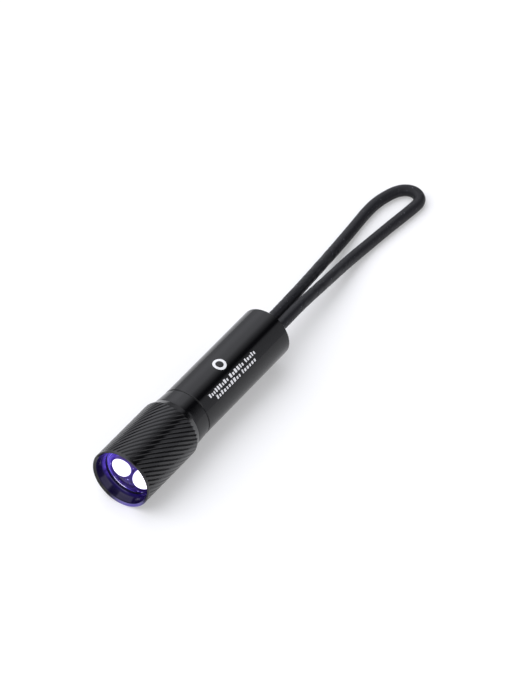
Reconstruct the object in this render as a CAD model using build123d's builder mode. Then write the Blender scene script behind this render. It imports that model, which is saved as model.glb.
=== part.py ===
from build123d import *
from math import atan, cos, degrees, pi, radians, sin, tan
import os

# Small twist-and-zoom ultraviolet torch for curing resin, lying on its side.
# +X is the beam, +Z is up, and the floor is Z = 0 under the head.
# The origin is on the floor, half way along the metal body.
# Lengths are millimetres.

# ---- battery: one AA cell ----
cell_dia = 14.5
cell_length = 50.5
nub_dia = 5.5
nub_height = 1.3
wrap_thick = 0.2
wrap_setback = 0.5
cap_rim_dia = 9.0

# ---- barrel ----
cell_gap = 0.2
socket_wall = 0.7
tail_wall = 2.2
tail_edge = 0.6
barrel_edge = 0.25
spring_room = 5.5
plate_thick = 0.5
chamber_length = 4.7
chamber_step = 0.85

# ---- neck and its screw spigot ----
neck_step = 0.35
neck_land = 0.9
neck_taper = 5.4
seam_gap = 0.4
spigot_length = 6.8
spigot_wall = 0.85
thread_gap = 0.05
thread_relief = 0.6
pill_bore_wall = 1.3

# ---- head ----
head_wall = 0.8
head_length = 27.0
head_chamfer = 2.5
rear_lip_wall = 0.15
rear_lip_length = 3.0
slide_gap = 0.05
bore_step = 0.25
rim_bevel = 0.15
rim_land = 0.25
mouth_chamfer = 0.55
recess_depth = 3.9
recess_taper = 1.15
seat_thick = 0.5
zoom_travel = 6.0
zoom_spare = 0.2
knurl_starts = 42
knurl_depth = 0.32
knurl_angle = 30.0
knurl_front = 0.9
knurl_slope = 1.0

# ---- lens ----
lens_seal_thick = 0.5
lens_edge = 1.3
lens_gap = 0.1
dome_rise = 3.0
lens_ring_length = 1.8
lens_ring_wall = 1.9
neck_setback = 0.8

# ---- light engine ----
board_setback = 1.0
board_thick = 1.0
board_dia = 13.0
package_size = 3.45
package_thick = 0.9
emitter_dia = 2.6
gasket_dia = 8.4
gasket_thick = 0.7
gasket_clearance = 0.04
pill_length = 8.4
pill_plate = 2.0
pill_wall = 1.35
pill_gap = 0.02
wire_hole_dia = 1.6
wire_dia = 0.9
wire_radius = 5.0
wire_bend = 0.7
pad_reach = 1.8
screw_dia = 1.6
screw_head_dia = 2.6
screw_head_height = 0.6
screw_radius = 5.0
screw_length = 2.6
driver_thick = 0.8
driver_ring_length = 0.8
driver_ring_wall = 1.7
driver_gap = 0.02
driver_step = 0.4
contact_dia = 4.0
contact_stand = 0.2
coil_dia = 3.6
coil_height = 2.2
chip_size = 2.8
chip_height = 1.0
capacitor_length = 1.6
capacitor_width = 0.9

# ---- rubber rings and the stop ring ----
ring_section = 1.0
ring_squash = 0.02
neck_ring_setback = 6.2
stop_ring_thick = 0.9
stop_ring_play = 0.05
stop_groove_depth = 0.4
stop_ring_opening = 28.0

# ---- tail, spring and cord ----
spring_wire = 0.7
spring_turns = 4.0
spring_front_radius = 2.6
spring_back_radius = 5.6
cord_dia = 4.0
strand_gap = 0.1
bushing_wall = 0.9
cord_clearance = 0.04
ferrule_length = 4.0
ferrule_wall = 0.7

# ---- the cord's route: X, Y and Z of each corner, from its root in the ferrule ----
cord_route = [
    (-36.4, -2.05, 10.5),
    (-46.0, -2.05, 10.5),
    (-59.5, -2.77, 9.7),
    (-77.8, -5.36, 6.5),
    (-94.1, -7.97, 3.3),
    (-106.4, -9.45, 2.0),
    (-119.2, -10.5, 2.0),
    (-126.4, -10.03, 2.0),
    (-134.3, -7.47, 2.0),
    (-136.6, -2.58, 2.0),
    (-133.5, 1.84, 2.0),
    (-127.4, 1.49, 2.0),
    (-116.3, 0.17, 2.0),
    (-102.8, -1.11, 2.0),
    (-91.2, -0.96, 3.7),
    (-75.8, 0.46, 6.9),
    (-57.9, 1.55, 10.0),
    (-46.0, 2.05, 10.5),
    (-36.4, 2.05, 10.5),
]

# ---- stations: distances behind the front rim ----
seat_back = recess_depth + seat_thick
lens_front = seat_back + lens_seal_thick
lens_back = lens_front + lens_edge
neck_front = lens_back + lens_ring_length + neck_setback
board_front = neck_front + board_setback
pill_front = board_front + board_thick
pill_back = pill_front + pill_length
driver_back = pill_back - driver_ring_length
driver_front = driver_back - driver_thick
cell_front = pill_back + contact_stand
can_front = cell_front + nub_height
cell_back = cell_front + cell_length
plate_front = cell_back + spring_room
plate_back = plate_front + plate_thick
tail_inside = plate_back + chamber_length
tail = tail_inside + tail_wall
head_back = head_length + head_chamfer
neck_land_end = head_back + neck_land
neck_end = neck_land_end + neck_taper
barrel_front = neck_end + seam_gap
spigot_end = barrel_front + spigot_length
socket_end = spigot_end + thread_relief
lip_front = head_back - rear_lip_length
stop_ring_back = lip_front - zoom_travel - zoom_spare
stop_ring_front = stop_ring_back - stop_ring_thick
neck_ring_at = neck_front + neck_ring_setback

# ---- radii ----
cell_radius = cell_dia / 2
cell_bore = cell_radius + cell_gap
spigot_radius = cell_bore + spigot_wall
socket_radius = spigot_radius + thread_gap
barrel_radius = socket_radius + socket_wall
neck_radius = barrel_radius + neck_step
pill_bore = neck_radius - pill_bore_wall
pill_radius = pill_bore - pill_gap
pill_cavity = pill_radius - pill_wall
lip_bore = neck_radius + slide_gap
head_bore = lip_bore + bore_step
head_radius = head_bore + head_wall
chamfer_end = lip_bore + rear_lip_wall
recess_mouth = head_radius - rim_bevel - rim_land - mouth_chamfer
recess_seat = recess_mouth - recess_taper
lens_radius = head_bore - lens_gap
chamber_radius = cell_bore - chamber_step
driver_radius = pill_cavity + driver_step
strand_offset = (cord_dia + strand_gap) / 2
cord_radius = cord_dia / 2

# ---- shared planes ----
front_x = tail / 2
axis_z = head_radius
side = Plane(origin=(front_x, 0, axis_z), x_dir=(-1, 0, 0), z_dir=(0, 1, 0))
beam = Axis((0, 0, axis_z), (1, 0, 0))


def across(station):
    """A plane square to the beam, facing the way the light goes."""
    return Plane(origin=(front_x - station, 0, axis_z), x_dir=(0, 1, 0), z_dir=(1, 0, 0))


def band(front, back, inner, outer):
    """A rectangle of wall between two stations and two radii, drawn on the side plane."""
    with Locations(((front + back) / 2, (inner + outer) / 2)):
        Rectangle(back - front, outer - inner)


def save(part, label):
    part.label = label
    export_step(part, f"parts/{label}.step")


os.makedirs("parts", exist_ok=True)

# ---- head: knurled shell that carries the lens and slides on the neck ----
# One slanting flute, cut along a right-handed helix from behind the rim out through the
# rear chamfer. Its own Z is the beam and its origin is the middle of the rim.
flute_length = head_back - knurl_front
flute_pitch = 2 * pi * head_radius / tan(radians(knurl_angle))

with BuildPart() as flute:
    with BuildLine():
        flute_path = Helix(
            pitch=flute_pitch,
            height=flute_length,
            radius=head_radius - knurl_depth,
            center=(0, 0, -head_back),
        )
    with BuildSketch(Plane(origin=flute_path @ 0, x_dir=(1, 0, 0), z_dir=flute_path % 0)):
        with BuildLine():
            Polyline([
                (0, 0),
                (knurl_depth * 2, knurl_slope * knurl_depth * 2),
                (knurl_depth * 2, -knurl_slope * knurl_depth * 2),
            ], close=True)
        make_face()
    sweep(is_frenet=True)

with BuildPart() as head_shell:
    with BuildSketch(side):
        with BuildLine():
            Polyline([
                (mouth_chamfer, recess_mouth),
                (0, recess_mouth + mouth_chamfer),
                (0, head_radius - rim_bevel),
                (rim_bevel, head_radius),
                (head_length, head_radius),
                (head_back, chamfer_end),
                (head_back, lip_bore),
                (lip_front, lip_bore),
                (lip_front, head_bore),
                (seat_back, head_bore),
                (seat_back, recess_seat),
                (recess_depth, recess_seat),
            ], close=True)
        make_face()
    revolve(axis=beam)
    with Locations(across(0).location):
        with PolarLocations(0, knurl_starts):
            add(flute.part, mode=Mode.SUBTRACT)

with BuildPart() as lens:
    with BuildSketch(side):
        with BuildLine():
            Line((lens_front - dome_rise, 0), (lens_back, 0))
            Line((lens_back, 0), (lens_back, lens_radius))
            Line((lens_back, lens_radius), (lens_front, lens_radius))
            Line((lens_front, lens_radius), (lens_front, recess_seat - lens_gap))
            dome_edge = recess_seat - lens_gap
            dome_radius = (dome_edge**2 + dome_rise**2) / (2 * dome_rise)
            half_angle = 0.5 * dome_edge / dome_radius
            dome_middle = (
                lens_front - dome_rise + dome_radius * (1 - cos(half_angle)),
                dome_radius * sin(half_angle),
            )
            ThreePointArc((lens_front, dome_edge), dome_middle, (lens_front - dome_rise, 0))
        make_face()
    revolve(axis=beam)

with BuildPart() as lens_seal:
    with BuildSketch(side):
        band(seat_back, lens_front, recess_seat, lens_radius)
    revolve(axis=beam)

with BuildPart() as lens_retaining_ring:
    with BuildSketch(side):
        band(lens_back, lens_back + lens_ring_length, head_bore - lens_ring_wall, lens_radius)
    revolve(axis=beam)
    # two spanner slots across the back face
    with BuildSketch(across(lens_back + lens_ring_length)):
        Rectangle(head_radius * 2, lens_ring_wall / 2)
    extrude(amount=lens_ring_length / 2, mode=Mode.SUBTRACT)

save(head_shell.part, "head_shell")
save(lens.part, "lens")
save(lens_seal.part, "lens_seal")
save(lens_retaining_ring.part, "lens_retaining_ring")

# ---- neck: sleeve that holds the light engine and screws into the barrel ----
ring_floor = head_bore - ring_squash - ring_section
stop_floor = neck_radius - stop_groove_depth

with BuildPart() as neck_tube:
    with BuildSketch(side):
        with BuildLine():
            Polyline([
                (neck_front, pill_bore),
                (neck_front, neck_radius),
                (neck_land_end, neck_radius),
                (neck_end, barrel_radius),
                (neck_end, spigot_radius),
                (spigot_end, spigot_radius),
                (spigot_end, cell_bore),
                (pill_back, cell_bore),
                (pill_back, pill_bore),
            ], close=True)
        make_face()
    revolve(axis=beam)
    # grooves for the rubber ring and the stop ring
    with BuildSketch(side):
        band(neck_ring_at - 0.6 * ring_section, neck_ring_at + 0.6 * ring_section,
             ring_floor - ring_squash, neck_radius + slide_gap)
        band(stop_ring_front - stop_ring_play, stop_ring_back + stop_ring_play,
             stop_floor, neck_radius + slide_gap)
    revolve(axis=beam, mode=Mode.SUBTRACT)

with BuildPart() as neck_o_ring:
    with BuildSketch(side):
        with Locations((neck_ring_at, ring_floor + ring_section / 2)):
            Circle(ring_section / 2)
    revolve(axis=beam)

with BuildPart() as stop_ring:
    with BuildSketch(side):
        band(stop_ring_front, stop_ring_back, stop_floor + stop_ring_play, head_bore - slide_gap)
    revolve(axis=beam, revolution_arc=360 - stop_ring_opening)

save(neck_tube.part, "neck_tube")
save(neck_o_ring.part, "neck_o_ring")
save(stop_ring.part, "stop_ring")

# ---- light engine: heat-sink pill, emitter board and driver board ----
with BuildPart() as led_pill:
    with BuildSketch(side):
        with BuildLine():
            Polyline([
                (pill_front, 0),
                (pill_front, pill_radius),
                (pill_back, pill_radius),
                (pill_back, driver_radius + driver_gap),
                (driver_front, driver_radius + driver_gap),
                (driver_front, pill_cavity),
                (pill_front + pill_plate, pill_cavity),
                (pill_front + pill_plate, 0),
            ], close=True)
        make_face()
    revolve(axis=beam)
    with BuildSketch(across(pill_front)):
        with PolarLocations(screw_radius, 2):
            Circle(screw_dia / 2)
        with PolarLocations(wire_radius, 2, start_angle=90):
            Circle(wire_hole_dia / 2)
    extrude(amount=-pill_plate, mode=Mode.SUBTRACT)

with BuildPart() as led_board:
    with BuildSketch(across(pill_front)):
        Circle(board_dia / 2)
        with PolarLocations(screw_radius, 2):
            Circle(screw_dia / 2, mode=Mode.SUBTRACT)
        with PolarLocations(wire_radius, 2, start_angle=90):
            Circle(wire_hole_dia / 2, mode=Mode.SUBTRACT)
    extrude(amount=board_thick)

with BuildPart() as board_screws:
    with BuildSketch(across(board_front)):
        with PolarLocations(screw_radius, 2):
            Circle(screw_head_dia / 2)
    extrude(amount=screw_head_height)
    with BuildSketch(across(board_front)):
        with PolarLocations(screw_radius, 2):
            Circle(screw_dia / 2)
    extrude(amount=-screw_length)
    with BuildSketch(across(board_front - screw_head_height)):
        with PolarLocations(screw_radius, 2):
            Rectangle(screw_head_dia, screw_head_dia / 6)
            Rectangle(screw_head_dia / 6, screw_head_dia)
    extrude(amount=-screw_head_height / 2, mode=Mode.SUBTRACT)

with BuildPart() as led_package:
    with BuildSketch(across(board_front)):
        Rectangle(package_size, package_size)
    extrude(amount=package_thick)

with BuildPart() as led_dome:
    with BuildSketch(side):
        with Locations((board_front - package_thick, 0)):
            Circle(emitter_dia / 2)
            Rectangle(emitter_dia, emitter_dia, align=(Align.MIN, Align.CENTER), mode=Mode.SUBTRACT)
            Rectangle(emitter_dia, emitter_dia, align=(Align.CENTER, Align.MAX), mode=Mode.SUBTRACT)
    revolve(axis=beam)

with BuildPart() as led_gasket:
    with BuildSketch(across(board_front)):
        with BuildLine():
            flat_half = screw_radius - screw_head_dia / 2 - gasket_clearance
            round_half = (gasket_dia**2 / 4 - flat_half**2) ** 0.5
            Line((-flat_half, -round_half), (-flat_half, round_half))
            ThreePointArc((-flat_half, round_half), (0, gasket_dia / 2), (flat_half, round_half))
            Line((flat_half, round_half), (flat_half, -round_half))
            ThreePointArc((flat_half, -round_half), (0, -gasket_dia / 2), (-flat_half, -round_half))
        make_face()
        Rectangle(package_size + driver_gap, package_size + driver_gap, mode=Mode.SUBTRACT)
    extrude(amount=gasket_thick)

# Each lead stands between the two boards and turns onto a solder pad at the front.
lead_foot = driver_front
lead_rise = board_front - wire_dia / 2

with BuildPart() as led_lead_red:
    with BuildLine():
        lead_path = FilletPolyline(
            (front_x - lead_foot, 0, axis_z + wire_radius),
            (front_x - lead_rise, 0, axis_z + wire_radius),
            (front_x - lead_rise, pad_reach, axis_z + wire_radius),
            radius=wire_bend,
        )
    with BuildSketch(Plane(origin=lead_path @ 0, z_dir=lead_path % 0)):
        Circle(wire_dia / 2)
    sweep()

with BuildPart() as led_lead_black:
    with BuildLine():
        lead_path = FilletPolyline(
            (front_x - lead_foot, 0, axis_z - wire_radius),
            (front_x - lead_rise, 0, axis_z - wire_radius),
            (front_x - lead_rise, -pad_reach, axis_z - wire_radius),
            radius=wire_bend,
        )
    with BuildSketch(Plane(origin=lead_path @ 0, z_dir=lead_path % 0)):
        Circle(wire_dia / 2)
    sweep()

with BuildPart() as driver_board:
    with BuildSketch(across(driver_back)):
        Circle(driver_radius)
    extrude(amount=driver_thick)

with BuildPart() as driver_ring:
    with BuildSketch(side):
        band(driver_back, pill_back, driver_radius - driver_ring_wall, driver_radius)
    revolve(axis=beam)

with BuildPart() as driver_coil:
    with BuildSketch(across(driver_front)):
        with Locations((-coil_dia * 0.75, 0)):
            Circle(coil_dia / 2)
    extrude(amount=coil_height)
    fillet(driver_coil.faces().sort_by(Axis.X)[-1].edges(), coil_height / 6)

with BuildPart() as driver_chip:
    with BuildSketch(across(driver_front)):
        with Locations((chip_size * 0.9, 0)):
            Rectangle(chip_size, chip_size)
    extrude(amount=chip_height)

with BuildPart() as driver_capacitors:
    with BuildSketch(across(driver_front)):
        with GridLocations(capacitor_length * 1.5, chip_size * 2, 2, 2):
            Rectangle(capacitor_length, capacitor_width)
    extrude(amount=capacitor_width)

with BuildPart() as positive_contact:
    with BuildSketch(across(driver_back)):
        Circle(contact_dia / 2)
    extrude(amount=-(cell_front - driver_back))
    fillet(positive_contact.faces().sort_by(Axis.X)[0].edges(), contact_stand)

save(led_pill.part, "led_pill")
save(led_board.part, "led_board")
save(board_screws.part, "board_screws")
save(led_package.part, "led_package")
save(led_dome.part, "led_dome")
save(led_gasket.part, "led_gasket")
save(led_lead_red.part, "led_lead_red")
save(led_lead_black.part, "led_lead_black")
save(driver_board.part, "driver_board")
save(driver_ring.part, "driver_ring")
save(driver_coil.part, "driver_coil")
save(driver_chip.part, "driver_chip")
save(driver_capacitors.part, "driver_capacitors")
save(positive_contact.part, "positive_contact")

# ---- AA cell ----
can_radius = cell_radius - wrap_thick

with BuildPart() as cell_can:
    with BuildSketch(side):
        band(can_front, cell_back, 0, can_radius)
    revolve(axis=beam)
    fillet(cell_can.edges().filter_by(GeomType.CIRCLE), wrap_setback)

with BuildPart() as cell_wrap:
    with BuildSketch(side):
        band(can_front + wrap_setback, cell_back - wrap_setback, can_radius, cell_radius)
    revolve(axis=beam)

with BuildPart() as cell_positive_cap:
    with BuildSketch(side):
        with BuildLine():
            Polyline([
                (cell_front, 0),
                (cell_front, nub_dia / 2),
                (can_front - wrap_thick, nub_dia / 2),
                (can_front - wrap_thick, cap_rim_dia / 2),
                (can_front, cap_rim_dia / 2),
                (can_front, 0),
            ], close=True)
        make_face()
    revolve(axis=beam)

with BuildPart() as cell_insulator:
    with BuildSketch(side):
        band(can_front - wrap_thick, can_front, cap_rim_dia / 2, can_radius - wrap_setback)
    revolve(axis=beam)

save(cell_can.part, "cell_can")
save(cell_wrap.part, "cell_wrap")
save(cell_positive_cap.part, "cell_positive_cap")
save(cell_insulator.part, "cell_insulator")

# ---- barrel: closed-end tube with a waisted hole for the doubled cord ----
bushing_radius = cord_radius + bushing_wall

with BuildPart() as barrel_tube:
    with BuildSketch(side):
        with BuildLine():
            Polyline([
                (barrel_front, socket_radius),
                (barrel_front, barrel_radius - barrel_edge),
                (barrel_front + barrel_edge, barrel_radius),
                (tail - tail_edge, barrel_radius),
                (tail, barrel_radius - tail_edge),
                (tail, 0),
                (tail_inside, 0),
                (tail_inside, chamber_radius),
                (plate_back, chamber_radius),
                (plate_back, cell_bore),
                (socket_end, cell_bore),
                (socket_end, socket_radius),
            ], close=True)
        make_face()
    revolve(axis=beam)
    with BuildSketch(across(tail)):
        SlotCenterToCenter(strand_offset * 2, bushing_radius * 2)
    extrude(amount=tail_wall, mode=Mode.SUBTRACT)

with BuildPart() as barrel_seal:
    with BuildSketch(side):
        band(neck_end + slide_gap, barrel_front, socket_radius, barrel_radius - barrel_edge * 1.5)
    revolve(axis=beam)

with BuildPart() as cord_bushing:
    with BuildSketch(across(tail)):
        SlotCenterToCenter(strand_offset * 2, bushing_radius * 2)
        with GridLocations(strand_offset * 2, 0, 2, 1):
            Circle(cord_radius + cord_clearance, mode=Mode.SUBTRACT)
        Rectangle(strand_offset * 2, cord_radius, mode=Mode.SUBTRACT)
    extrude(amount=tail_wall)

with BuildPart() as cord_ferrule:
    with BuildSketch(across(tail_inside)):
        SlotCenterToCenter(strand_offset * 2, (cord_radius + ferrule_wall) * 2)
        with GridLocations(strand_offset * 2, 0, 2, 1):
            Circle(cord_radius + cord_clearance, mode=Mode.SUBTRACT)
        Rectangle(strand_offset * 2, cord_radius, mode=Mode.SUBTRACT)
    extrude(amount=ferrule_length)

with BuildPart() as spring_plate:
    with BuildSketch(side):
        band(plate_front, plate_back, 0, cell_bore - driver_gap)
    revolve(axis=beam)

save(barrel_tube.part, "barrel_tube")
save(barrel_seal.part, "barrel_seal")
save(cord_bushing.part, "cord_bushing")
save(cord_ferrule.part, "cord_ferrule")
save(spring_plate.part, "spring_plate")

# Conical spring, wide on the plate and narrow on the cell, with closed end coils.
spring_height = spring_room - spring_wire
spring_narrowing = spring_back_radius - spring_front_radius

with BuildPart() as tail_spring:
    with BuildLine() as spring_line:
        coil = Helix(
            pitch=spring_height / spring_turns,
            height=spring_height,
            radius=spring_back_radius,
            center=(front_x - plate_front + spring_wire / 2, 0, axis_z),
            direction=(1, 0, 0),
            cone_angle=-degrees(atan(spring_narrowing / spring_height)),
        )
    with BuildSketch(Plane(origin=coil @ 0, z_dir=coil % 0)):
        Circle(spring_wire / 2)
    sweep(is_frenet=True)

save(tail_spring.part, "tail_spring")

# ---- wrist cord: both ends in the ferrule, laid down behind the barrel ----
cord_points = [Vector(*point) for point in cord_route]
cord_runs = [b - a for a, b in zip(cord_points, cord_points[1:])]
cord_bends = []
for before, after in zip(cord_runs, cord_runs[1:]):
    half_turn = radians(before.get_angle(after)) / 2
    cord_bends.append(0.45 * min(before.length, after.length) / tan(half_turn))
print("cord bend radii", [round(bend, 1) for bend in cord_bends])

with BuildPart() as wrist_cord:
    with BuildLine() as cord_line:
        FilletPolyline(*cord_points, radius=cord_bends)
    with BuildSketch(Plane(origin=cord_points[0], z_dir=cord_runs[0])):
        Circle(cord_radius)
    sweep()

print("cord length", round(cord_line.wires()[0].length, 1))
print("cord volume", round(wrist_cord.part.volume, 1),
      "section times length", round(pi * cord_radius**2 * cord_line.wires()[0].length, 1))
save(wrist_cord.part, "wrist_cord")
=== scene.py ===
import math
import random

import bmesh
import bpy
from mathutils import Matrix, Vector


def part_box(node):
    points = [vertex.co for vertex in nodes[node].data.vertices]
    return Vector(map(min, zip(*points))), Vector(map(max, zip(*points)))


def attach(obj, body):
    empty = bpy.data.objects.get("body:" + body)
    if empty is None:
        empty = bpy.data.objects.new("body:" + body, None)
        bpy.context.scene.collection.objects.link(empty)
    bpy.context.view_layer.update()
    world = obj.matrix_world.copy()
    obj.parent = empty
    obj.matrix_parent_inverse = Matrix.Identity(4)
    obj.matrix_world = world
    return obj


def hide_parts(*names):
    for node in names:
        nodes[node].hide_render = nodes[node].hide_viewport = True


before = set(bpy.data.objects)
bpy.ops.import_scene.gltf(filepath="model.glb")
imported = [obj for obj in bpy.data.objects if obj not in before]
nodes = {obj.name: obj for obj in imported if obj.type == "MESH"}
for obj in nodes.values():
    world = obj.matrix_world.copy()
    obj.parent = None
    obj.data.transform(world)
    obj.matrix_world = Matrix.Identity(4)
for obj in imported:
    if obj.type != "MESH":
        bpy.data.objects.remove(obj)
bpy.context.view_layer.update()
mm = 0.001
random.seed(7)
print("frame loaded,", len(nodes), "CAD nodes")

# The beam runs along +X, at the height of the head's middle.
headLow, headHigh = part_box("head_shell")
barrelLow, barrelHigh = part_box("barrel_tube")
axisZ = (headLow.z + headHigh.z) / 2
rimX = headHigh.x
tailX = barrelLow.x
headRadius = (headHigh.z - headLow.z) / 2
barrelRadius = (barrelHigh.z - barrelLow.z) / 2

# The mouth of the head, in millimetres.
rimWidth = 0.95       # from the outside of the head to the recess
mouthChamfer = 0.55
recessDepth = 3.9     # from the rim to the lens seal
mouthRadius = headRadius / mm - rimWidth


cameraView = {
    "azimuth": 123.25,
    "elevation": 41.66,
    "distance": 1.4,
    "lens": 228.1,
    "aim": (-0.03584, 0.00297, 0.0105),
}


def makeCamera(look):
    data = bpy.data.cameras.new("camera")
    data.lens = look["lens"]
    data.sensor_width = 36
    data.clip_start = 0.05
    data.clip_end = 50
    camera = bpy.data.objects.new("camera", data)
    bpy.context.scene.collection.objects.link(camera)
    turn = math.radians(look["azimuth"])
    rise = math.radians(look["elevation"])
    back = Vector((math.sin(turn) * math.cos(rise), -math.cos(turn) * math.cos(rise), math.sin(rise)))
    camera.location = Vector(look["aim"]) + back * look["distance"]
    camera.rotation_mode = "QUATERNION"
    camera.rotation_quaternion = back.to_track_quat("Z", "Y")
    bpy.context.scene.camera = camera
    return back


viewBack = makeCamera(cameraView)
print("camera made")


def newMaterial(name):
    material = bpy.data.materials.new(name)
    material.use_nodes = True
    tree = material.node_tree
    return material, tree, tree.nodes["Principled BSDF"]


# A socket takes either another node's output or a plain value.
def feed(tree, socket, value):
    if isinstance(value, bpy.types.NodeSocket):
        tree.links.new(value, socket)
    else:
        socket.default_value = value


# The values are keyed by the name or the number of the input.
def addNode(tree, kind, settings, values):
    node = tree.nodes.new(kind)
    for key, value in settings.items():
        setattr(node, key, value)
    for key, value in values.items():
        feed(tree, node.inputs[key], value)
    return node


def calc(tree, operation, first, second=0.0):
    return addNode(tree, "ShaderNodeMath", {"operation": operation}, {0: first, 1: second}).outputs["Value"]


def times(tree, first, second):
    return calc(tree, "MULTIPLY", first, second)


def minus(tree, first, second):
    return calc(tree, "SUBTRACT", first, second)


def spanned(tree, value, low, high, toLow=0.0, toHigh=1.0, interpolation="LINEAR"):
    node = addNode(tree, "ShaderNodeMapRange", {"interpolation_type": interpolation},
                   {0: value, 1: low, 2: high, 3: toLow, 4: toHigh})
    return node.outputs["Result"]


def rising(tree, value, low, high):
    return spanned(tree, value, low, high, interpolation="SMOOTHSTEP")


def falling(tree, value, low, high):
    return minus(tree, 1.0, rising(tree, value, low, high))


# How many degrees a turn is away from a middle one, either way.
def turnedFrom(tree, turn, middle):
    # 540 is a turn and a half, which keeps the sum above nought
    off = calc(tree, "MODULO", calc(tree, "ADD", turn, 540.0 - middle), 360.0)
    return calc(tree, "ABSOLUTE", minus(tree, off, 180.0))


# How far a point lies from the origin of a plane.
def lengthOf(tree, first, second):
    return calc(tree, "SQRT", calc(tree, "ADD", times(tree, first, first), times(tree, second, second)))


def mixColour(tree, share, first, second):
    node = addNode(tree, "ShaderNodeMix", {"data_type": "RGBA"}, {0: share})
    for index, value in ((6, first), (7, second)):
        feed(tree, node.inputs[index], (*value, 1) if isinstance(value, tuple) else value)
    return node.outputs[2]


def noiseNode(tree, point, scale, detail):
    node = addNode(tree, "ShaderNodeTexNoise", {}, {"Vector": point, "Scale": scale, "Detail": detail})
    return node.outputs["Fac"]


def bumpNode(tree, strength, distance, height):
    node = addNode(tree, "ShaderNodeBump", {},
                   {"Strength": strength, "Distance": distance, "Height": height})
    return node.outputs["Normal"]


def objectPoint(tree):
    return tree.nodes.new("ShaderNodeTexCoord").outputs["Object"]


def splitPoint(tree, point):
    return addNode(tree, "ShaderNodeSeparateXYZ", {}, {"Vector": point}).outputs


def rampNode(tree, share, stops):
    ramp = tree.nodes.new("ShaderNodeValToRGB")
    elements = ramp.color_ramp.elements
    while len(elements) < len(stops):
        elements.new(0.5)
    for element, (place, colour) in zip(elements, stops):
        element.position = place
        element.color = (*colour, 1)
    tree.links.new(share, ramp.inputs["Fac"])
    return ramp.outputs["Color"]


# Millimetres along the beam and out from it, and the turn round it in degrees from +Y towards +Z.
def beamPlace(tree, point):
    parts = splitPoint(tree, point)
    across = times(tree, parts["Y"], 1 / mm)
    above = times(tree, minus(tree, parts["Z"], axisZ), 1 / mm)
    return {
        "along": times(tree, parts["X"], 1 / mm),
        "across": across,
        "above": above,
        "out": lengthOf(tree, across, above),
        "turn": times(tree, calc(tree, "ARCTAN2", above, across), 180 / math.pi),
    }


def setMaterial(obj, material):
    obj.data.materials.clear()
    obj.data.materials.append(material)


noiseRange = (0.3, 0.7)        # where most of a noise's values lie
roughSpread = (0.85, 1.2)      # how far the roughness of a plain finish wanders

anodiseLook = {
    "colour": (0.0018, 0.0018, 0.0022),
    "colourWorn": (0.0034, 0.0034, 0.004),
    "roughness": (0.11, 0.17),
    "ior": 1.38,
    "cloud": 90.0,         # how fine the worn patches are
    "grain": 3600.0,       # how fine the pits are
    "turning": 5200.0,     # how fine the lathe rings are
    "bump": 0.02,
    "bumpDepth": 0.0002,
}


def anodisedFinish(name, look):
    material, tree, shader = newMaterial(name)
    point = objectPoint(tree)
    cloud = noiseNode(tree, point, look["cloud"], 3.0)
    grain = noiseNode(tree, point, look["grain"], 2.0)
    rings = addNode(tree, "ShaderNodeTexNoise", {"noise_dimensions": "1D"},
                    {"W": splitPoint(tree, point)["X"], "Scale": look["turning"], "Detail": 2.0})
    colour = mixColour(tree, cloud, look["colour"], look["colourWorn"])
    rough = spanned(tree, grain, *noiseRange, *look["roughness"])
    height = calc(tree, "ADD", grain, rings.outputs["Fac"])
    tree.links.new(colour, shader.inputs["Base Color"])
    tree.links.new(rough, shader.inputs["Roughness"])
    tree.links.new(bumpNode(tree, look["bump"], look["bumpDepth"], height), shader.inputs["Normal"])
    shader.inputs["IOR"].default_value = look["ior"]
    return material


# A mottled tint with uneven roughness and a fine bump.
def plainFinish(name, colour, roughness, metallic=0.0, speck=0.15, scale=1500.0, bump=0.05):
    material, tree, shader = newMaterial(name)
    noise = noiseNode(tree, objectPoint(tree), scale, 3.0)
    darker = tuple(part * (1 - speck) for part in colour)
    lighter = tuple(min(1, part * (1 + speck)) for part in colour)
    smoothest, roughest = [roughness * part for part in roughSpread]
    rough = spanned(tree, noise, *noiseRange, smoothest, min(1, roughest))
    tree.links.new(mixColour(tree, noise, darker, lighter), shader.inputs["Base Color"])
    tree.links.new(rough, shader.inputs["Roughness"])
    tree.links.new(bumpNode(tree, bump, 0.0001, noise), shader.inputs["Normal"])
    shader.inputs["Metallic"].default_value = metallic
    shader.inputs["IOR"].default_value = 1.5
    return material


blackAnodise = anodisedFinish("blackAnodise", anodiseLook)
headAnodiseAndPaintedGlow = anodisedFinish("headAnodiseAndPaintedGlow", {**anodiseLook, "roughness": (0.12, 0.18), "ior": 1.47})
blackRubber = plainFinish("blackRubber", (0.012, 0.012, 0.013), 0.6, scale=2500.0, bump=0.1)
bareAluminium = plainFinish("bareAluminium", (0.75, 0.75, 0.77), 0.3, 1.0)
springSteel = plainFinish("springSteel", (0.62, 0.62, 0.64), 0.25, 1.0)
brass = plainFinish("brass", (0.83, 0.6, 0.28), 0.28, 1.0)
cellSteel = plainFinish("cellSteel", (0.68, 0.68, 0.7), 0.22, 1.0)
cellWrap = plainFinish("cellWrap", (0.05, 0.1, 0.14), 0.3)
boardMask = plainFinish("boardMask", (0.8, 0.81, 0.79), 0.45)
driverLaminate = plainFinish("driverLaminate", (0.02, 0.16, 0.06), 0.4)
emitterBody = plainFinish("emitterBody", (0.82, 0.8, 0.74), 0.5)
blackPlastic = plainFinish("blackPlastic", (0.02, 0.02, 0.02), 0.5)
ferrite = plainFinish("ferrite", (0.06, 0.06, 0.065), 0.7)
capacitorTan = plainFinish("capacitorTan", (0.4, 0.26, 0.14), 0.55)
redLead = plainFinish("redLead", (0.55, 0.02, 0.015), 0.35)
blackLead = plainFinish("blackLead", (0.02, 0.02, 0.02), 0.35)
fibreWasher = plainFinish("fibreWasher", (0.42, 0.38, 0.3), 0.8)

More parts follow.
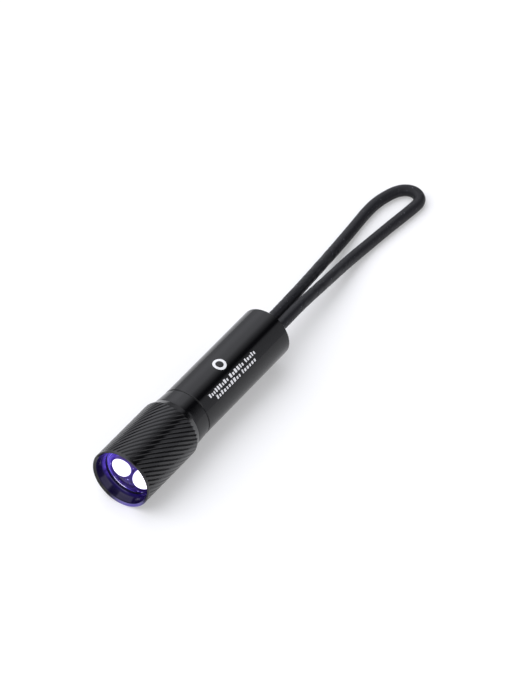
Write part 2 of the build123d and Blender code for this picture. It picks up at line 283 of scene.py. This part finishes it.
nodeFinish = {
    "head_shell": headAnodiseAndPaintedGlow,
    "lens_retaining_ring": blackAnodise,
    "neck_tube": blackAnodise,
    "barrel_tube": blackAnodise,
    "lens_seal": blackRubber,
    "neck_o_ring": blackRubber,
    "barrel_seal": blackRubber,
    "cord_bushing": blackRubber,
    "stop_ring": springSteel,
    "board_screws": springSteel,
    "tail_spring": springSteel,
    "led_pill": bareAluminium,
    "led_board": boardMask,
    "led_package": emitterBody,
    "led_gasket": blackPlastic,
    "led_lead_red": redLead,
    "led_lead_black": blackLead,
    "driver_board": driverLaminate,
    "driver_ring": brass,
    "driver_coil": ferrite,
    "driver_chip": blackPlastic,
    "driver_capacitors": capacitorTan,
    "positive_contact": brass,
    "spring_plate": brass,
    "cord_ferrule": brass,
    "cell_can": cellSteel,
    "cell_positive_cap": cellSteel,
    "cell_wrap": cellWrap,
    "cell_insulator": fibreWasher,
}


# The lit lens, all of its light painted on as emission: painted images of the emitter with painted violet
# halos, painted violet glow with painted glints, and a painted band of light at its edge. Places are
# millimetres from the beam, turns are degrees, and colours are linear.
lensLook = {
    # painted images of the emitter, each with a painted violet halo
    "spots": [
        {"middle": (-1.4, 2.3), "half": (3.8, 2.8), "turn": 17.0},
        {"middle": (5.9, 0.0), "half": (2.8, 4.3), "turn": 0.0},
    ],
    "spotColour": (2.4, 2.3, 2.6),
    "spotEdge": (0.93, 1.06),     # shares of a spot's half width
    "haloColour": (0.035, 0.01, 0.26),
    "haloEdge": (1.0, 1.22),
    "deepColour": (0.002, 0.0, 0.02),
    "midColour": (0.016, 0.004, 0.13),
    "glintColour": (0.5, 0.45, 1.1),
    "glowPatch": 650.0,              # how fine the patches of paler painted glow are
    "glowPatchFrom": (0.42, 0.62),   # where the noise turns into a patch of paler painted glow
    "glintFrom": (0.66, 0.72),
    "bandColour": (0.045, 0.018, 0.34),
    "bandLight": (0.22, 0.17, 0.86),
    "bandFrom": (5.7, 6.6),
    "bandTurn": 195.0,
    "bandSpread": (62.0, 95.0),
    "streaks": (0.012, 2.6),      # how fast they change round the lens and out from its middle
    "streakFrom": (0.42, 0.64),
    "lineColour": (2.0, 1.9, 2.4),
    "lineTurn": -118.0,
    "lineSpread": (14.0, 26.0),
    "lineOut": 7.0,
    "lineWidth": (0.25, 0.6),
    "glass": (0.02, 0.012, 0.06),
    "roughness": 0.03,
    "ior": 1.25,
    "clear": 0.12,
}


# Nought at the middle of a spot, a painted image of the emitter, and one at its edge.
def spotShare(tree, place, spot):
    turn = math.radians(spot["turn"])
    halfLong, halfShort = spot["half"]
    across = minus(tree, place["across"], spot["middle"][0])
    above = minus(tree, place["above"], spot["middle"][1])
    longWay = calc(tree, "ADD", times(tree, across, math.cos(turn) / halfLong),
                   times(tree, above, math.sin(turn) / halfLong))
    shortWay = minus(tree, times(tree, above, math.cos(turn) / halfShort),
                     times(tree, across, math.sin(turn) / halfShort))
    return lengthOf(tree, longWay, shortWay)


# Painted violet light deep in the lens: a faint painted glow, with patches of paler painted glow and a few
# painted glints.
def lensDepthsPaintedGlow(tree, point, look):
    glowPatch = noiseNode(tree, point, look["glowPatch"], 2.0)
    inGlowPatch = rising(tree, glowPatch, *look["glowPatchFrom"])
    glinting = rising(tree, glowPatch, *look["glintFrom"])
    colour = mixColour(tree, inGlowPatch, look["deepColour"], look["midColour"])
    return mixColour(tree, glinting, colour, look["glintColour"])


# A painted streaky band of violet light inside the edge of the lens, with a painted bright line low down in
# it.
def lensBand(tree, place, look, colour):
    roundScale, outScale = look["streaks"]
    streakPlace = {
        "X": times(tree, place["turn"], roundScale),
        "Y": times(tree, place["out"], outScale),
    }
    streakPoint = addNode(tree, "ShaderNodeCombineXYZ", {}, streakPlace).outputs["Vector"]
    streak = noiseNode(tree, streakPoint, 1.0, 2.0)
    band = mixColour(tree, rising(tree, streak, *look["streakFrom"]), look["bandColour"], look["bandLight"])
    inBand = times(tree, rising(tree, place["out"], *look["bandFrom"]),
                   falling(tree, turnedFrom(tree, place["turn"], look["bandTurn"]), *look["bandSpread"]))
    colour = mixColour(tree, inBand, colour, band)
    offLine = calc(tree, "ABSOLUTE", minus(tree, place["out"], look["lineOut"]))
    inLine = times(tree, falling(tree, offLine, *look["lineWidth"]),
                   falling(tree, turnedFrom(tree, place["turn"], look["lineTurn"]), *look["lineSpread"]))
    return mixColour(tree, inLine, colour, look["lineColour"])


def lensFinish(look):
    material, tree, shader = newMaterial("litLens")
    point = objectPoint(tree)
    place = beamPlace(tree, point)
    colour = lensBand(tree, place, look, lensDepthsPaintedGlow(tree, point, look))
    # each spot is the emitter's image painted on in white light, ringed by a painted violet halo
    for spot in look["spots"]:
        share = spotShare(tree, place, spot)
        colour = mixColour(tree, falling(tree, share, *look["haloEdge"]), colour, look["haloColour"])
        colour = mixColour(tree, falling(tree, share, *look["spotEdge"]), colour, look["spotColour"])
    tree.links.new(colour, shader.inputs["Emission Color"])
    shader.inputs["Emission Strength"].default_value = 1.0
    shader.inputs["Base Color"].default_value = (*look["glass"], 1)
    shader.inputs["Roughness"].default_value = look["roughness"]
    shader.inputs["IOR"].default_value = look["ior"]
    shader.inputs["Transmission Weight"].default_value = look["clear"]
    return material


# Painted violet light on the head: painted glow on the recess wall close to the lens, two paler patches of
# painted reflection, and a painted violet fringe on the rim.
mouthLook = {
    "wallGlow": (0.12, 0.07, 0.62),
    "wallDeep": (0.006, 0.001, 0.07),
    "wallFar": (0.002, 0.0, 0.02),
    "wallReach": 1.6,             # millimetres in front of the lens seal
    "wallTurn": 178.0,
    "wallSpread": (18.0, 46.0),
    "wallCloud": 420.0,           # how fine the unevenness of the glow is
    "wallUneven": (0.25, 0.7),
    # paler patches of painted reflection on the recess wall
    "patchColour": (0.03, 0.026, 0.06),
    "patches": [(-139.0, 13.0), (-88.0, 17.0)],    # middle and half width of each, in degrees
    "patchSoft": 3.0,
    "patchFront": (0.5, 1.1),     # millimetres behind the rim
    "patchBack": (2.6, 3.1),
    # a painted violet fringe of light on the rim
    "rimColour": (0.1, 0.075, 0.36),
    "rimTurn": -70.0,
    "rimSpread": (12.0, 52.0),
    "slack": 0.02,                # millimetres, for surfaces that lie right on an edge
    "borderSoft": 0.1,
}


def lightHead(material, look):
    tree = material.node_tree
    shader = tree.nodes["Principled BSDF"]
    point = objectPoint(tree)
    place = beamPlace(tree, point)
    turn = place["turn"]
    depth = minus(tree, rimX / mm, place["along"])
    inBore = falling(tree, place["out"], mouthRadius + look["slack"], mouthRadius + look["borderSoft"])
    inRecess = times(tree, inBore, calc(tree, "LESS_THAN", depth, recessDepth + look["slack"]))
    uneven = rising(tree, noiseNode(tree, point, look["wallCloud"], 2.0), *look["wallUneven"])
    close = rising(tree, depth, recessDepth - look["wallReach"], recessDepth)
    colour = mixColour(tree, close, look["wallFar"], look["wallDeep"])
    glow = times(tree, times(tree, close, uneven),
                 falling(tree, turnedFrom(tree, turn, look["wallTurn"]), *look["wallSpread"]))
    colour = mixColour(tree, glow, colour, look["wallGlow"])
    midway = times(tree, rising(tree, depth, *look["patchFront"]), falling(tree, depth, *look["patchBack"]))
    # two paler patches of painted reflection, midway down the recess
    for middle, half in look["patches"]:
        away = turnedFrom(tree, turn, middle)
        within = falling(tree, away, half - look["patchSoft"], half + look["patchSoft"])
        colour = mixColour(tree, times(tree, midway, within), colour, look["patchColour"])
    colour = mixColour(tree, inRecess, (0.0, 0.0, 0.0), colour)
    # a painted violet fringe of light on the rim's front
    front = calc(tree, "LESS_THAN", depth, mouthChamfer - look["slack"])
    onRim = times(tree, minus(tree, 1.0, inBore), front)
    rim = times(tree, onRim, falling(tree, turnedFrom(tree, turn, look["rimTurn"]), *look["rimSpread"]))
    tree.links.new(mixColour(tree, rim, colour, look["rimColour"]), shader.inputs["Emission Color"])
    shader.inputs["Emission Strength"].default_value = 1.0


emitterLook = {
    "middle": (0.7, 0.6, 1.0),
    "edge": (0.16, 0.08, 1.0),
    "fade": (0.4, 1.3),           # millimetres out from the beam
    "body": (0.6, 0.5, 1.0),
    "strength": 8.0,
}


def emitterFinish(look):
    material, tree, shader = newMaterial("litEmitter")
    out = beamPlace(tree, objectPoint(tree))["out"]
    colour = mixColour(tree, rising(tree, out, *look["fade"]), look["middle"], look["edge"])
    tree.links.new(colour, shader.inputs["Emission Color"])
    shader.inputs["Emission Strength"].default_value = look["strength"]
    shader.inputs["Base Color"].default_value = (*look["body"], 1)
    return material


nodeFinish["lens"] = lensFinish(lensLook)
nodeFinish["led_dome"] = emitterFinish(emitterLook)
lightHead(headAnodiseAndPaintedGlow, mouthLook)

for name, material in nodeFinish.items():
    setMaterial(nodes[name], material)
print("finishes set on the CAD nodes")


# White print wrapped on the barrel: a ring and two rows of plain blocks.
printLook = {
    "thick": 0.03,
    "lift": 0.002,
    "ring": {"at": -11.74, "turn": 80.0, "outer": 2.3, "inner": 1.35},
    "rows": [
        {"from": 0.6, "to": -24.8, "turn": 47.8, "words": (9, 6, 5)},
        {"from": -1.7, "to": -23.4, "turn": 35.7, "words": (10, 6)},
    ],
    "blockWidth": (0.4, 0.75),
    "blockGap": 0.42,
    "wordGap": 1.0,
    "tall": 1.35,
    "short": 0.95,
    "tallShare": 0.3,
    "corner": 0.13,
    "ink": (0.82, 0.82, 0.83),
}


def addRing(shape, middle, outer, inner):
    made = bmesh.ops.create_circle(shape, cap_ends=True, segments=64, radius=outer)
    faces = list({face for vert in made["verts"] for face in vert.link_faces})
    bmesh.ops.inset_region(shape, faces=faces, thickness=outer - inner,
                           use_boundary=True, use_even_offset=True)
    bmesh.ops.delete(shape, geom=faces, context="FACES")
    bmesh.ops.translate(shape, verts=shape.verts[:], vec=middle)


def addBlock(shape, middle, width, height, corner):
    made = bmesh.ops.create_grid(shape, x_segments=1, y_segments=3, size=0.5)
    bmesh.ops.scale(shape, verts=made["verts"], vec=(width, height, 1))
    bmesh.ops.translate(shape, verts=made["verts"], vec=middle)
    corners = [vert for vert in made["verts"] if len(vert.link_edges) == 2]
    bmesh.ops.bevel(shape, geom=corners, offset=corner, offset_type="OFFSET", segments=3,
                    profile=0.5, affect="VERTICES", material=-1)


# A row's blocks are drawn at their own widths, then drawn in or out to fill the row.
def addRow(shape, row, look, reach):
    blocks = []
    place = 0.0
    for word in row["words"]:
        for index in range(word):
            width = random.uniform(*look["blockWidth"])
            tall = index == 0 or random.random() < look["tallShare"]
            blocks.append((place + width / 2, width, look["tall"] if tall else look["short"]))
            place += width + look["blockGap"]
        place += look["wordGap"] - look["blockGap"]
    fit = abs(row["to"] - row["from"]) / (place - look["wordGap"])
    foot = math.radians(row["turn"]) * reach - look["tall"] / 2
    for offset, width, height in blocks:
        middle = Vector((row["from"] - offset * fit, foot + height / 2, 0))
        addBlock(shape, middle, width * fit, height, look["corner"])


def makePrint(look):
    shape = bmesh.new()
    # drawn flat: X is along the barrel and Y is the distance round it, both in millimetres
    reach = barrelRadius / mm
    ring = look["ring"]
    middle = Vector((ring["at"], math.radians(ring["turn"]) * reach, 0))
    addRing(shape, middle, ring["outer"], ring["inner"])
    for row in look["rows"]:
        addRow(shape, row, look, reach)
    made = bmesh.ops.extrude_face_region(shape, geom=shape.faces[:])
    raised = [item for item in made["geom"] if isinstance(item, bmesh.types.BMVert)]
    bmesh.ops.translate(shape, verts=raised, vec=(0, 0, look["thick"]))
    # then wrapped round the barrel
    for vert in shape.verts:
        turn = vert.co.y / reach
        out = reach + look["lift"] + vert.co.z
        vert.co = (vert.co.x * mm, math.cos(turn) * out * mm, axisZ + math.sin(turn) * out * mm)
    bmesh.ops.recalc_face_normals(shape, faces=shape.faces[:])
    mesh = bpy.data.meshes.new("barrelPrint")
    shape.to_mesh(mesh)
    shape.free()
    marks = bpy.data.objects.new("barrelPrint", mesh)
    bpy.context.scene.collection.objects.link(marks)
    setMaterial(marks, plainFinish("whiteInk", look["ink"], roughness=0.5, speck=0.06, scale=3000.0))
    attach(marks, "barrel")


makePrint(printLook)
print("barrel print made")


# The cord's route is the middle line of the round cord, from its root in the ferrule, in millimetres.
cordLook = {
    "diameter": 4.0,
    "exit": (tailX, 0, axisZ),
    "strands": 8,          # each way round
    "braidLength": 5.2,    # length in which the strands go once round
    "relief": 0.26,
    "level": 0.62,         # the height of strand that lies at the cord's own radius
    "colour": (0.003, 0.003, 0.005),
    # the crowns of the strands are painted lighter, a painted highlight, with flecks of painted glint on
    # them
    "colourHigh": (0.012, 0.0125, 0.019),
    "fleckColour": (0.3, 0.31, 0.36),
    "fibre": 5200.0,       # how fine the fibres are
    "fleck": 1500.0,       # how fine the flecks are
    "highFrom": (0.45, 0.98),
    "fleckFrom": (0.68, 0.73),
    "fleckHigh": (0.6, 0.95),    # the heights of strand that take a painted glint
    "roughness": 0.46,
    "specular": 0.32,
    "sheen": 0.12,
    "sheenRoughness": 0.4,
    "bump": 0.35,
    "bumpDepth": 0.00006,
    "route": [
        (-36.4, -2.05, 10.5),
        (-46.0, -2.05, 10.5),
        (-59.5, -2.77, 9.7),
        (-77.8, -5.36, 6.5),
        (-94.1, -7.97, 3.3),
        (-106.4, -9.45, 2.0),
        (-119.2, -10.5, 2.0),
        (-126.4, -10.03, 2.0),
        (-134.3, -7.47, 2.0),
        (-136.6, -2.58, 2.0),
        (-133.5, 1.84, 2.0),
        (-127.4, 1.49, 2.0),
        (-116.3, 0.17, 2.0),
        (-102.8, -1.11, 2.0),
        (-91.2, -0.96, 3.7),
        (-75.8, 0.46, 6.9),
        (-57.9, 1.55, 10.0),
        (-46.0, 2.05, 10.5),
        (-36.4, 2.05, 10.5),
    ],
}


# The mesh of the middle line, or of the whole round cord.
def cordLine(look, thick):
    data = bpy.data.curves.new("wristCordLine", "CURVE")
    data.dimensions = "3D"
    spline = data.splines.new("NURBS")
    spline.points.add(len(look["route"]) - 1)
    for point, place in zip(spline.points, look["route"]):
        point.co = (*[part * mm for part in place], 1)
    spline.order_u = 3
    spline.use_endpoint_u = True
    spline.resolution_u = 48
    if thick:
        data.bevel_depth = look["diameter"] / 2 * mm
        data.bevel_resolution = 18
        data.use_fill_caps = True
    line = bpy.data.objects.new("wristCordLine", data)
    bpy.context.scene.collection.objects.link(line)
    bpy.context.view_layer.update()
    mesh = bpy.data.meshes.new_from_object(line.evaluated_get(bpy.context.evaluated_depsgraph_get()))
    bpy.data.objects.remove(line)
    bpy.data.curves.remove(data)
    return mesh


# Two sets of strands run round the cord opposite ways and pass over and under each other.
def braidHeight(look, travelled, turn):
    reach = travelled * look["strands"] / look["braidLength"]
    across = turn * look["strands"] / math.tau
    firstWave = math.cos(math.pi * (across + reach))
    secondWave = math.cos(math.pi * (across - reach))
    over = (1 - look["level"]) * firstWave * secondWave
    return max(abs(firstWave) * (look["level"] + over), abs(secondWave) * (look["level"] - over))


def cordFinish(look):
    material, tree, shader = newMaterial("cordBraid")
    point = objectPoint(tree)
    relief = addNode(tree, "ShaderNodeAttribute", {"attribute_name": "relief"}, {}).outputs["Fac"]
    fibre = noiseNode(tree, point, look["fibre"], 2.0)
    fleck = noiseNode(tree, point, look["fleck"], 1.0)
    # painted highlight: the crowns of the strands are painted lighter in fibre streaks, leaving the valleys
    # between them darker as painted shade, and painted glints fleck the crowns
    high = times(tree, rising(tree, relief, *look["highFrom"]), rising(tree, fibre, *noiseRange))
    colour = mixColour(tree, high, look["colour"], look["colourHigh"])
    bright = times(tree, rising(tree, fleck, *look["fleckFrom"]), rising(tree, relief, *look["fleckHigh"]))
    colour = mixColour(tree, bright, colour, look["fleckColour"])
    tree.links.new(colour, shader.inputs["Base Color"])
    tree.links.new(bumpNode(tree, look["bump"], look["bumpDepth"], fibre), shader.inputs["Normal"])
    shader.inputs["Roughness"].default_value = look["roughness"]
    shader.inputs["Specular IOR Level"].default_value = look["specular"]
    shader.inputs["Sheen Weight"].default_value = look["sheen"]
    shader.inputs["Sheen Roughness"].default_value = look["sheenRoughness"]
    return material


def makeCord(look):
    line = cordLine(look, False)
    path = [vert.co.copy() for vert in line.vertices]
    bpy.data.meshes.remove(line)
    mesh = cordLine(look, True)
    mesh.name = "wristCord"
    around = len(mesh.vertices) // len(path)
    travelled = 0.0
    heights = []
    # each point of the round cord is moved out or in by the braid
    for ring, place in enumerate(path):
        if ring:
            travelled += (place - path[ring - 1]).length / mm
        for step in range(around):
            vert = mesh.vertices[ring * around + step]
            height = braidHeight(look, travelled, math.tau * step / around)
            heights.append(height)
            outward = (vert.co - place).normalized()
            out = look["diameter"] / 2 + (height - look["level"]) * look["relief"]
            vert.co = place + outward * out * mm
    relief = mesh.attributes.new("relief", "FLOAT", "POINT")
    for index, height in enumerate(heights):
        relief.data[index].value = height
    for face in mesh.polygons:
        face.use_smooth = True
    cord = bpy.data.objects.new("wristCord", mesh)
    bpy.context.scene.collection.objects.link(cord)
    setMaterial(cord, cordFinish(look))
    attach(cord, "barrel")
    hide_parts("wrist_cord")


makeCord(cordLook)
print("cord laid")


studio = {
    "floorSize": 6.0,
    "floorColour": (0.7, 0.7, 0.7),
    "floorGlow": 0.3,
    "floorRoughness": 0.8,
    "floorShine": 0.1,
    "worldStrength": 1.6,
    "bandShift": 1.0,
    # degrees round the beam from the camera's side, and how bright it is there
    "bands": [
        (-180, 0.9),
        (-124, 0.3),
        (-116, 0.36),
        (-102, 0.53),
        (-90, 0.8),
        (-79, 0.98),
        (-42, 1.04),
        (-34, 0.68),
        (-25, 0.38),
        (-17, 0.18),
        (-11, 0.01),
        (2, 0.0),
        (8, 0.42),
        (14, 0.51),
        (58, 0.49),
        (80, 0.8),
        (180, 0.9),
    ],
    "tint": (1.0, 1.01, 1.08),
    "darkFrom": -5.0,             # the dark stripe widens from here up, in degrees
    "darkWider": 3.0,             # how many times its own width it gains
    "darkWiderShare": (0.665, 0.72),    # shares of the direction that point to the tail
    "behindTail": 0.3,            # the part of the brightness that is left there
    "behindTailShare": (0.7, 0.84),
    "lights": [
        ("keyLight", (0.9, -0.9, 1.7), (2.4, 2.0), 9),
        ("fillLight", (1.3, 0.9, 1.3), (2.2, 2.0), 8),
    ],
}


def makeFloor(look):
    mesh = bpy.data.meshes.new("floor")
    shape = bmesh.new()
    bmesh.ops.create_grid(shape, x_segments=1, y_segments=1, size=look["floorSize"] / 2)
    shape.to_mesh(mesh)
    shape.free()
    floor = bpy.data.objects.new("floor", mesh)
    bpy.context.scene.collection.objects.link(floor)
    paper = plainFinish("floorPaper", look["floorColour"], look["floorRoughness"],
                        speck=0.01, scale=40.0, bump=0.0)
    shader = paper.node_tree.nodes["Principled BSDF"]
    shader.inputs["Emission Color"].default_value = (1, 1, 1, 1)
    shader.inputs["Emission Strength"].default_value = look["floorGlow"]
    shader.inputs["Specular IOR Level"].default_value = look["floorShine"]
    setMaterial(floor, paper)


def dotWith(tree, point, way):
    node = addNode(tree, "ShaderNodeVectorMath", {"operation": "DOT_PRODUCT"}, {0: point, 1: way})
    return node.outputs["Value"]


def makeWorld(look):
    world = bpy.data.worlds.new("studio")
    bpy.context.scene.world = world
    world.use_nodes = True
    tree = world.node_tree
    background = tree.nodes["Background"]
    point = tree.nodes.new("ShaderNodeTexCoord").outputs["Generated"]
    facing = Vector((0, viewBack.y, viewBack.z)).normalized()
    sideways = Vector((0, facing.z, -facing.y))
    turn = calc(tree, "ARCTAN2", dotWith(tree, point, sideways), dotWith(tree, point, facing))
    angle = times(tree, turn, 180 / math.pi)
    fromTail = times(tree, splitPoint(tree, point)["X"], -1.0)
    # the dark stripe is wider for surfaces that lean towards the tail
    leaning = rising(tree, fromTail, *look["darkWiderShare"])
    spread = calc(tree, "ADD", times(tree, leaning, look["darkWider"]), 1.0)
    offStripe = calc(tree, "DIVIDE", minus(tree, angle, look["darkFrom"]), spread)
    squeezed = calc(tree, "ADD", offStripe, look["darkFrom"])
    share = calc(tree, "ADD", calc(tree, "DIVIDE", calc(tree, "MINIMUM", angle, squeezed), 360.0), 0.5)
    stops = []
    for degrees, level in look["bands"]:
        tinted = tuple(level * part for part in look["tint"])
        stops.append((0.5 + (degrees + look["bandShift"]) / 360, tinted))
    tree.links.new(rampNode(tree, share, stops), background.inputs["Color"])
    # it is darker behind the tail
    behind = times(tree, rising(tree, fromTail, *look["behindTailShare"]), 1 - look["behindTail"])
    strength = times(tree, minus(tree, 1.0, behind), look["worldStrength"])
    tree.links.new(strength, background.inputs["Strength"])


# The lights all face the origin.
def makeLight(name, place, size, power):
    data = bpy.data.lights.new(name, "AREA")
    data.shape = "RECTANGLE"
    data.size, data.size_y = size
    data.energy = power
    light = bpy.data.objects.new(name, data)
    bpy.context.scene.collection.objects.link(light)
    light.location = place
    light.rotation_mode = "QUATERNION"
    light.rotation_quaternion = Vector(place).to_track_quat("Z", "Y")


makeFloor(studio)
makeWorld(studio)
for name, place, size, power in studio["lights"]:
    makeLight(name, place, size, power)
bpy.context.scene.view_settings.view_transform = "Standard"
print("studio lit")
